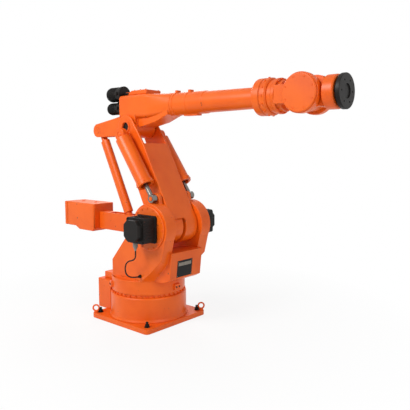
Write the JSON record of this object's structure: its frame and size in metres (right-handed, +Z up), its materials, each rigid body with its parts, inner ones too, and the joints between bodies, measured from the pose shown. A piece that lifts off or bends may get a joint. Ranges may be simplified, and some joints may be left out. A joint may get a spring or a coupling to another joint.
{
  "type": "industrial robot arm",
  "caption": "Floor-standing six-axis industrial robot arm with a turntable, a counterweighted parallelogram linkage, side balancers and a round tool flange",
  "frame": {"origin": "middle of the base plate's underside, on the floor", "axes": "+X is the way the arm reaches, +Y the robot's left, +Z up"},
  "size_m": [2.99, 0.974, 2.148],
  "materials": {
    "orange_paint": "gloss enamel over castings",
    "bare_steel": "ground steel",
    "black_paint": "satin black enamel"
  },
  "bodies": {
    "base": {"base_plate": "orange_paint", "base_drum": "orange_paint", "bearing_ring": "bare_steel", "connector_box": "orange_paint", "drive_cover": "orange_paint", "lifting_eye_right": "orange_paint", "lifting_eye_left": "orange_paint"},
    "swivel": {"swivel_casting": "orange_paint", "reducer_cover_right": "orange_paint", "reducer_cover_left": "orange_paint", "shoulder_motor_right": "black_paint", "shoulder_motor_left": "black_paint", "shoulder_shaft": "bare_steel", "balancer_pin_right": "bare_steel", "balancer_pin_left": "bare_steel"},
    "lower_arm": {"lower_arm": "orange_paint"},
    "elbow_pin": {"elbow_pin": "bare_steel"},
    "upper_arm": {"elbow_housing": "orange_paint", "top_cover": "orange_paint", "forearm": "orange_paint", "wrist_collar": "orange_paint", "roll_motor": "black_paint", "bend_motor": "black_paint", "tool_motor": "black_paint", "lever_pin": "bare_steel"},
    "wrist": {"wrist_fork": "orange_paint", "bend_pin": "bare_steel", "wrist_cover_right": "orange_paint", "wrist_cover_left": "orange_paint"},
    "head": {"wrist_head": "orange_paint"},
    "flange": {"tool_flange": "black_paint"},
    "crank": {"crank_arm": "orange_paint", "counterweight": "orange_paint"},
    "crank_pin": {"crank_pin": "bare_steel"},
    "link": {"rear_link": "orange_paint"},
    "balancer_right": {"balancer_cylinder_right": "orange_paint"},
    "balancer_left": {"balancer_cylinder_left": "orange_paint"},
    "rod_right": {"balancer_rod_right": "bare_steel"},
    "rod_left": {"balancer_rod_left": "bare_steel"}
  },
  "joints": [
    {"name": "swivel_turn", "type": "hinge", "parent": "base", "child": "swivel", "pos_m": [0, 0, 0.2895], "axis": [0, 0, 1], "range_deg": [-165, 165]},
    {"name": "shoulder", "type": "hinge", "parent": "swivel", "child": "lower_arm", "pos_m": [0.315, 0, 0.9], "axis": [0, 1, 0], "range_deg": [-18, 81]},
    {"name": "crank_turn", "type": "hinge", "parent": "swivel", "child": "crank", "pos_m": [0.315, 0, 0.9], "axis": [0, 1, 0], "range_deg": [-21, 36]},
    {"name": "crank_pin_turn", "type": "hinge", "parent": "crank", "child": "crank_pin", "pos_m": [-0.135, -0.07, 0.878], "axis": [0, 1, 0], "range_deg": [-36, 21]},
    {"name": "link_swing", "type": "hinge", "parent": "crank_pin", "child": "link", "pos_m": [-0.135, -0.07, 0.878], "axis": [0, 1, 0], "range_deg": [-19, 82]},
    {"name": "elbow_level", "type": "hinge", "parent": "lower_arm", "child": "elbow_pin", "pos_m": [-0.115, 0, 1.77004], "axis": [0, 1, 0], "range_deg": [-82, 19]},
    {"name": "elbow", "type": "hinge", "parent": "elbow_pin", "child": "upper_arm", "pos_m": [-0.115, 0, 1.77004], "axis": [0, 1, 0], "range_deg": [-20, 35]},
    {"name": "balancer_tilt_right", "type": "hinge", "parent": "lower_arm", "child": "balancer_right", "pos_m": [-0.07933, -0.235, 1.69787], "axis": [0, 1, 0], "range_deg": [-6.67, 26.52]},
    {"name": "balancer_tilt_left", "type": "hinge", "parent": "lower_arm", "child": "balancer_left", "pos_m": [-0.07933, 0.235, 1.69787], "axis": [0, 1, 0], "range_deg": [-6.67, 26.52]},
    {"name": "rod_tilt_right", "type": "hinge", "parent": "swivel", "child": "rod_right", "pos_m": [0.315, -0.235, 1.15], "axis": [0, 1, 0], "range_deg": [-24.67, 107.52]},
    {"name": "rod_tilt_left", "type": "hinge", "parent": "swivel", "child": "rod_left", "pos_m": [0.315, 0.235, 1.15], "axis": [0, 1, 0], "range_deg": [-24.67, 107.52]},
    {"name": "wrist_roll", "type": "hinge", "parent": "upper_arm", "child": "wrist", "pos_m": [1.323, 0, 1.95204], "axis": [1, 0, 0], "range_deg": [-175, 175]},
    {"name": "wrist_bend", "type": "hinge", "parent": "wrist", "child": "head", "pos_m": [1.66, 0, 1.95204], "axis": [0, 1, 0], "range_deg": [-110, 110]},
    {"name": "flange_turn", "type": "hinge", "parent": "head", "child": "flange", "pos_m": [1.9, 0, 1.95204], "axis": [1, 0, 0], "range_deg": [-175, 175]}
  ],
  "couplings": [
    {"joint": "crank_turn", "follows": "elbow", "ratio": 1},
    {"joint": "crank_pin_turn", "follows": "elbow", "ratio": -1},
    {"joint": "link_swing", "follows": "shoulder", "ratio": 1},
    {"joint": "elbow_level", "follows": "shoulder", "ratio": -1},
    {"joint": "balancer_tilt_right", "follows": "shoulder", "ratio": 0.315},
    {"joint": "balancer_tilt_left", "follows": "shoulder", "ratio": 0.315},
    {"joint": "rod_tilt_right", "follows": "shoulder", "ratio": 1.315},
    {"joint": "rod_tilt_left", "follows": "shoulder", "ratio": 1.315}
  ]
}
